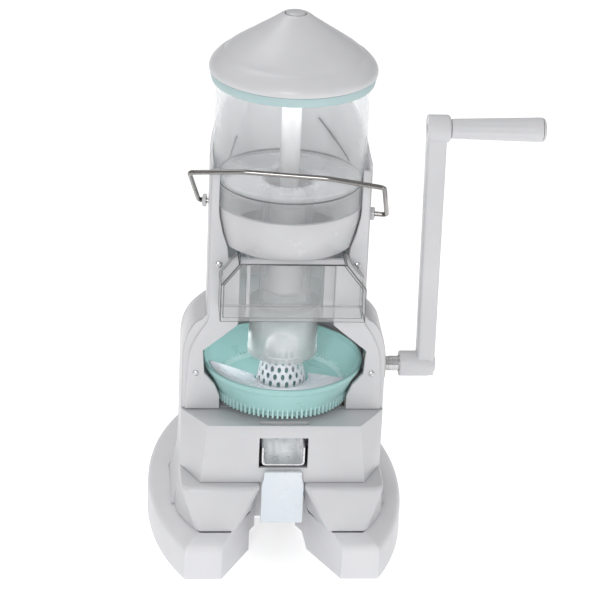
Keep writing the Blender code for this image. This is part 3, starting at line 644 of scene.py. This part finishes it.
def pusher():
    stem = turned("pusher_stem_skin", [(2.0, 365.6), (6.35, 365.6, 0.4), (6.35, 250.4, 0.4), (2.0, 250.4)],
                  48, hollow=False)
    show(stem, "pusher", "white_gloss", GLOSS, "pusher_stem")
    head = turned("pusher_head_skin", [(5.0, 250.0), (8.6, 249.6, 1.0), (11.9, 246.0, 1.0),
                                       (11.9, 216.0, 0.2), (11.4, 215.6, 0.2), (11.4, 214.0, 0.2),
                                       (11.9, 213.6, 0.2), (11.9, 181.6, 0.8), (10.8, 180.1, 0.4),
                                       (3.0, 180.1)], 64, hollow=False)
    show(head, "pusher", "white_gloss", GLOSS, "pusher_head")
    cap = turned("pusher_cap_skin", [(2.0, 366.0), (6.35, 366.0, 0.3), (6.35, 369.1, 0.9), (4.0, 369.9, 0.8),
                                     (1.0, 370.1)], 48, hollow=False)
    show(cap, "pusher", "white_gloss", GLOSS, "pusher_cap")


def wire(name, path, radius):
    """A round wire along a path."""
    curve = bpy.data.curves.new(name, "CURVE")
    curve.dimensions = "3D"
    curve.bevel_depth = radius * MM
    curve.bevel_resolution = 6
    curve.use_fill_caps = True
    spline = curve.splines.new("POLY")
    spline.points.add(len(path) - 1)
    for point, place in zip(spline.points, path):
        point.co = (*put(place), 1.0)
    spline.use_smooth = True
    thing = bpy.data.objects.new(name, curve)
    bpy.context.scene.collection.objects.link(thing)
    return thing


def wire_bail():
    left, right = BAIL_SIDES
    flat = [(-50.2, 0.0), (left, 0.0), (left, 58.1), (left + 33.6, 68.3)]
    flat += [(right - 33.6, 68.3), (right, 58.1), (right, 0.0), (50.2, 0.0)]
    lift = math.radians(39.3)
    path = softened([(s, t, 3.6) for s, t in flat], False, 8)
    bail = wire("wire_bail_skin", [bail_point(s, t, lift) for s, t in path], 1.58)
    show(bail, "bail", "bright_wire", WIRE, "wire_bail")


# ---------------------------------------------------------------- bowl and drive

def gear_outline(teeth, root, tip, root_half, tip_half, phase):
    outline = []
    for i in range(teeth):
        middle = phase + 2 * math.pi * i / teeth
        for radius, half in ((root, -root_half), (tip, -tip_half), (tip, tip_half), (root, root_half)):
            turn = middle + half / radius
            outline.append((radius * math.cos(turn), radius * math.sin(turn)))
    return outline


def bowl():
    shell = turned("bowl_skin", [(BOWL_R - 0.2, BOWL_RIM, 0.6), (BOWL_R, BOWL_RIM - 1.6, 0.6),
                                 (52.1, 127.6, 1.0), (50.9, 126.6, 0.8), (43.5, 110.95, 1.0),
                                 (20.0, 110.95, 0.3), (20.0, 95.0, 0.5), (17.4, 95.0, 0.5),
                                 (17.4, 113.0, 0.5), (42.0, 113.0, 3.0), (50.9, 129.0, 1.0),
                                 (51.3, BOWL_RIM, 0.6)], 160)
    show(shell, "bowl", "mint", MINT, "bowl")
    outline = gear_outline(RING_TEETH, 41.5, 44.95, 0.74, 0.60, math.pi / RING_TEETH)
    ring_low = reach("ring_gear")[0][2] + 3.4
    ring = prism("ring_gear_skin", outline, ring_low, ring_low + 8.0)
    cut(ring, turned("bore", [(37.0, 100.0), (37.0, 110.6), (44.4, 118.0)], 96, hollow=False))
    bevelled(ring, 0.22, 2, angle=40.0)
    show(apply_all(ring), "bowl", "mint", MINT_GEAR, "ring_gear")
    sector_tray()


def sector_tray(steps=60):
    """The white sector beside the cone: it rises from the cone's foot towards the bowl's rim, and ends in two
    straight edges that run outwards."""
    rings = []
    for i in range(steps + 1):
        share = i / steps
        near = math.radians(15.0 - 200.0 * share)
        far = math.radians(-38.0 - 137.0 * share)
        ring = []
        section = ((17.9, 116.6, near), (48.3, 130.1, far), (48.9, 129.0, far), (18.3, 115.4, near))
        for radius, z, turn in section:
            ring.append((radius * math.cos(turn), radius * math.sin(turn), z))
        rings.append(ring)
    tray = bevelled(loft("sector_tray_skin", rings, angle=25.0), 0.3, 2, angle=40.0)
    show(apply_all(tray), "bowl", "white_gloss", TONGUE, "sector_tray")


def grating_cone():
    """The perforated cone, with staggered rows of oval holes through its wall."""
    cone = turned("grating_cone_skin", [(CONE_R, CONE_LOW, 0.2), (10.95, 141.0, 1.6), (9.0, 144.0, 1.6),
                                        (5.0, 144.95, 0.4), (4.6, 144.2, 0.3), (8.4, 143.2, 1.0),
                                        (10.2, 140.6, 1.2), (CONE_R - 0.7, CONE_LOW, 0.2)], 144)
    pegs = bmesh.new()
    rows, holes, sides = 5, 18, 14
    for row in range(rows):
        z = 117.3 + 4.9 * row
        radius = CONE_R - CONE_TAPER * (z - CONE_LOW)
        for i in range(holes):
            turn = 2 * math.pi * (i + 0.5 * (row % 2)) / holes
            out, side = (math.cos(turn), math.sin(turn)), (-math.sin(turn), math.cos(turn))
            width = 1.3 * (0.78 + 0.22 * radius / CONE_R)
            rings = []
            for r in (radius - 2.5, radius + 1.5):
                oval = []
                for k in range(sides):
                    angle = 2 * math.pi * k / sides
                    x, y = (o * r + a * width * math.cos(angle) for o, a in zip(out, side))
                    oval.append(pegs.verts.new(put((x, y, z + 2.05 * math.sin(angle)))))
                rings.append(oval)
            for k in range(sides):
                j = (k + 1) % sides
                pegs.faces.new((rings[0][k], rings[0][j], rings[1][j], rings[1][k]))
            pegs.faces.new(rings[0])
            pegs.faces.new(rings[1])
    cut(cone, finish_mesh("pegs", pegs))
    show(cone, "bowl", "steel", GRATER, "grating_cone")


def crank():
    """The arm leans in towards the machine from its hub up to the boss that holds the grip."""
    rings = []
    for z, (low, high), half in ((CRANK_Z - 6.0, ARM_FOOT_X, 6.0), (CRANK_Z + 12, ARM_FOOT_X, 6.7),
                                 (GRIP_Z - 12, ARM_HEAD_X, 6.0), (GRIP_Z + 5, ARM_HEAD_X, 5.7)):
        corners = [(low, -half, 2.6), (high, -half, 2.6), (high, half, 2.6), (low, half, 2.6)]
        rings.append(at_height(softened(corners, True, 5), z))
    arm = loft("crank_arm_skin", rings)
    hub = turned("hub", [(7.9, HUB_X[0]), (8.45, HUB_X[0] + 0.5, 0.3), (8.45, HUB_X[1] - 2.6, 3.4),
                         (5.0, HUB_X[1])], 64, "X", (0.0, CRANK_Z), False)
    boss = turned("boss", [(8.5, BOSS_X[0]), (9.0, BOSS_X[0] + 0.5, 0.3), (9.0, BOSS_X[1] - 1.2, 1.2),
                           (7.6, BOSS_X[1], 0.4), (3.0, BOSS_X[1])], 64, "X", (0.0, GRIP_Z), False)
    cut(arm, hub, boss, operation="UNION")
    bore = turned("bore", [(5.3, HUB_X[0] - 8), (5.3, HUB_X[1] - 5)], 40, "X", (0.0, CRANK_Z), False)
    hole = turned("hole", [(3.1, BOSS_X[0] - 8), (3.1, BOSS_X[1] + 8)], 32, "X", (0.0, GRIP_Z), False)
    cut(arm, bore, hole)
    show(arm, "crank", "white_shell", WHITE, "crank_arm")


def grip():
    """A tapered handle with shallow lengthwise flutes and a domed end."""
    def ring(radius, along, depth):
        points = []
        for i in range(144):
            angle = 2 * math.pi * i / 144
            r = radius * (1 - depth * (0.5 - 0.5 * math.cos(12 * angle)))
            points.append((along, r * math.cos(angle), GRIP_Z + r * math.sin(angle)))
        return points

    start = reach("crank_grip")[0][0]
    stages = [(5.8, 0.0, 0.0), (6.3, 0.5, 0.0), (6.45, 3.0, 0.0), (6.6, 7.0, 0.03), (7.0, 22.0, 0.035),
              (7.4, 38.0, 0.035), (7.75, 52.0, 0.03), (7.85, 56.0, 0.0), (7.9, 58.5, 0.0), (7.75, 60.5, 0.0)]
    stretch = (reach("crank_grip")[1][0] - start) / stages[-1][1]
    rings = [ring(r, start + along * stretch, depth) for r, along, depth in stages]
    rings += [ring(3.2, start + stages[-1][1] * stretch, 0.0), ring(3.2, start, 0.0)]
    show(loft("crank_grip_skin", rings, True, 40.0), "grip", "white_shell", WHITE, "crank_grip")
    low, high = reach("grip_end_cap")[0][0], reach("grip_end_cap")[1][0]
    cap = turned("grip_end_cap_skin", [(7.5, low), (7.2, low + 1.0, 0.8), (4.6, high - 0.05, 1.6),
                                       (0.6, high - 0.02)], 96, "X", (0.0, GRIP_Z), False)
    show(cap, "grip", "white_shell", WHITE, "grip_end_cap")


def chute_and_tongue():
    """The pressed steel trough under the hub, curling down to the window, and the white tongue before it."""
    trough = []
    for y, z in softened([(27.0, 92.0), (8.0, 80.6, 14.0), (-30.0, 75.2, 14.0), (-46.0, 73.7)], False, 8):
        top = min(z + 13.0, 93.6)
        out = softened([(-14.0, top), (-14.0, z, 3.0), (14.0, z, 3.0), (14.0, top)], False, 5)
        inn = softened([(13.0, top), (13.0, z + 1, 2.4), (-13.0, z + 1, 2.4), (-13.0, top)], False, 5)
        trough.append([(x, y, height) for x, height in out + inn])
    show(loft("chute_skin", trough), "base", "steel", CHUTE, "chute")
    low, high = reach("chute_tongue")
    front, rear = low[1] - AXIS_Y, high[1] - AXIS_Y
    half = (high[0] - low[0]) / 2
    outline = softened([(-half, low[2], 1.0), (half, low[2], 1.0), (half, 62.0, 3.0), (12.4, 66.0, 3.0),
                        (12.4, high[2], 1.0), (-12.4, high[2], 1.0), (-12.4, 66.0, 3.0), (-half, 62.0, 3.0)])
    tongue = bevelled(prism("chute_tongue_skin", outline, front, rear, "Y"), 0.7)
    show(apply_all(tongue), "base", "white_gloss", TONGUE, "chute_tongue")


def guide_ribs():
    for name in ("left_guide_rib", "right_guide_rib"):
        keep(name, GLOSS, 0.5, 3)


def inner_pieces():
    """CAD nodes whose shapes stay: each gets its finish and softened edges."""
    for node in ("drive_bracket", "crank_screw", "grip_axle", "lay_shaft", "shaft_clip"):
        keep(node, STEEL)
    for node in ("base_screw_1", "base_screw_2", "base_screw_3", "base_screw_4"):
        keep(node, STEEL)
    for node in ("lay_shaft_bearing", "inner_bush", "outer_bush", "bowl_bearing", "crank_gear", "lay_gear",
                 "pinion"):
        keep(node, NYLON, 0.15)
    for node in ("foot_pad_1", "foot_pad_2", "foot_pad_3", "foot_pad_4", "foot_pad_centre"):
        keep(node, RUBBER)
    keep("base_plate", WHITE_DULL)
    keep("drive_deck", WHITE)
    low, high = reach("crank_shaft")
    shaft = turned("crank_shaft_skin", [(2.0, low[0]), (4.98, low[0], 0.5), (4.98, 69.2), (4.7, 69.5),
                                        (4.7, 70.7), (4.98, 71.0), (4.98, 77.2), (4.98, high[0], 0.5),
                                        (2.0, high[0])], 96, "X", (0.0, CRANK_Z), False)
    show(shaft, "crank", "steel", SHAFT, "crank_shaft")


# ---------------------------------------------------------------- stage, light and camera

def pale_floor():
    floor = bmesh.new()
    for x, y in ((-30, -30), (30, -30), (30, 30), (-30, 30)):
        floor.verts.new((x, y, 0.0))
    floor.faces.new(floor.verts)
    mesh = bpy.data.meshes.new("studio_floor")
    floor.to_mesh(mesh)
    floor.free()
    thing = bpy.data.objects.new("studio_floor", mesh)
    bpy.context.scene.collection.objects.link(thing)
    material, tree, shader = shader_of("studio_white")
    white = two_tone(tree, noise(tree, 3.0), (0.88, 0.88, 0.88), (0.90, 0.90, 0.90))
    tree.links.new(white, shader.inputs["Base Color"])
    shader.inputs["Roughness"].default_value = 0.9
    shader.inputs["Specular IOR Level"].default_value = 0.0
    shader.inputs["Emission Color"].default_value = (1.0, 1.0, 1.0, 1.0)
    shader.inputs["Emission Strength"].default_value = 0.5
    thing.data.materials.append(material)


def softbox(name, place, aim, width, height, power):
    lamp = bpy.data.lights.new(name, "AREA")
    lamp.shape = "RECTANGLE"
    lamp.size = width
    lamp.size_y = height
    lamp.energy = power
    thing = bpy.data.objects.new(name, lamp)
    thing.location = place
    thing.rotation_euler = (Vector(aim) - Vector(place)).to_track_quat("-Z", "Y").to_euler()
    bpy.context.scene.collection.objects.link(thing)


def studio():
    world = bpy.data.worlds.new("studio")
    bpy.context.scene.world = world
    world.use_nodes = True
    tree = world.node_tree
    place = tree.nodes.new("ShaderNodeTexCoord")
    split = tree.nodes.new("ShaderNodeSeparateXYZ")
    ramp = tree.nodes.new("ShaderNodeValToRGB")
    ramp.color_ramp.elements[0].position = 0.0
    ramp.color_ramp.elements[0].color = (0.34, 0.34, 0.35, 1.0)
    ramp.color_ramp.elements[1].position = 0.55
    ramp.color_ramp.elements[1].color = (0.86, 0.86, 0.86, 1.0)
    tree.links.new(place.outputs["Generated"], split.inputs["Vector"])
    tree.links.new(split.outputs["Z"], ramp.inputs["Fac"])
    tree.links.new(ramp.outputs["Color"], tree.nodes["Background"].inputs["Color"])
    tree.nodes["Background"].inputs["Strength"].default_value = 0.62
    aim = (0.0, AXIS_Y * MM, 0.18)
    softbox("key_light", (-0.35, -1.55, 0.85), aim, 0.55, 0.55, 9.8)
    softbox("side_light", (1.3, -0.6, 0.5), aim, 0.35, 0.9, 2.0)
    softbox("top_light", (-0.3, 0.4, 1.4), aim, 0.9, 0.6, 4.5)
    bowl_floor = (0.0, 18.0, 100.0)
    cone_foot = (0.0, -12.0, 126.0)
    hopper_rear = (0.0, 46.0, 275.0)
    chute_bed = (0.0, -18.0, 70.0)
    fills = [("left_bowl_fill", (-27.0, 8.0, 150.0), bowl_floor, 0.03, 0.014),
             ("right_bowl_fill", (27.0, 8.0, 150.0), bowl_floor, 0.03, 0.007),
             ("cone_fill", (0.0, -38.0, 150.0), cone_foot, 0.03, 0.004),
             ("left_hopper_fill", (-27.0, -14.0, 320.0), hopper_rear, 0.03, 0.024),
             ("right_hopper_fill", (27.0, -14.0, 320.0), hopper_rear, 0.03, 0.024),
             ("chute_fill", (0.0, -28.0, 91.5), chute_bed, 0.02, 0.0042)]
    for name, place, goal, size, power in fills:
        softbox(name, put(place), put(goal), size, size, power)
        lamp = bpy.data.objects[name]
        lamp.visible_camera = lamp.visible_glossy = False
    pale_floor()


def camera():
    """A long lens, a little above the machine and a few degrees to its left."""
    turn, height, roll = math.radians(-4.75), math.radians(24.44), math.radians(2.39)
    target = Vector(put((0.0, 0.0, 190.0)))
    back = Vector((math.sin(turn) * math.cos(height), -math.cos(turn) * math.cos(height), math.sin(height)))
    right = Vector((math.cos(turn), math.sin(turn), 0.0))
    up = back.cross(right)
    right, up = (right * math.cos(roll) + up * math.sin(roll), up * math.cos(roll) - right * math.sin(roll))
    forward = (-back + right * 0.005983 - up * 0.010229).normalized()
    side = forward.cross(up).normalized()
    up = side.cross(forward)
    lens = bpy.data.cameras.new("camera")
    lens.lens = 148.93
    lens.sensor_width = 36.0
    thing = bpy.data.objects.new("camera", lens)
    thing.matrix_world = Matrix((side, up, -forward)).transposed().to_4x4()
    thing.location = target + back * 1.61687
    bpy.context.scene.collection.objects.link(thing)
    bpy.context.scene.camera = thing


camera()
studio()
base_and_body()
leg_cover("left_leg_cover", -1)
leg_cover("right_leg_cover", 1)
front_housing()
front_frame()
for number, (x, z, radius) in enumerate(((-57.6, 129.7, 1.9), (-44.6, 207.3, 2.2), (57.6, 129.7, 1.9),
                                         (44.6, 207.3, 2.2)), 1):
    screw_head(f"frame_screw_{number}_skin", radius, x, z, f"frame_screw_{number}")
guard()
tower()
hopper_and_collar()
lid()
pusher()
wire_bail()
bowl()
grating_cone()
crank()
grip()
chute_and_tongue()
guide_ribs()
inner_pieces()
bpy.context.scene.view_settings.view_transform = "Standard"
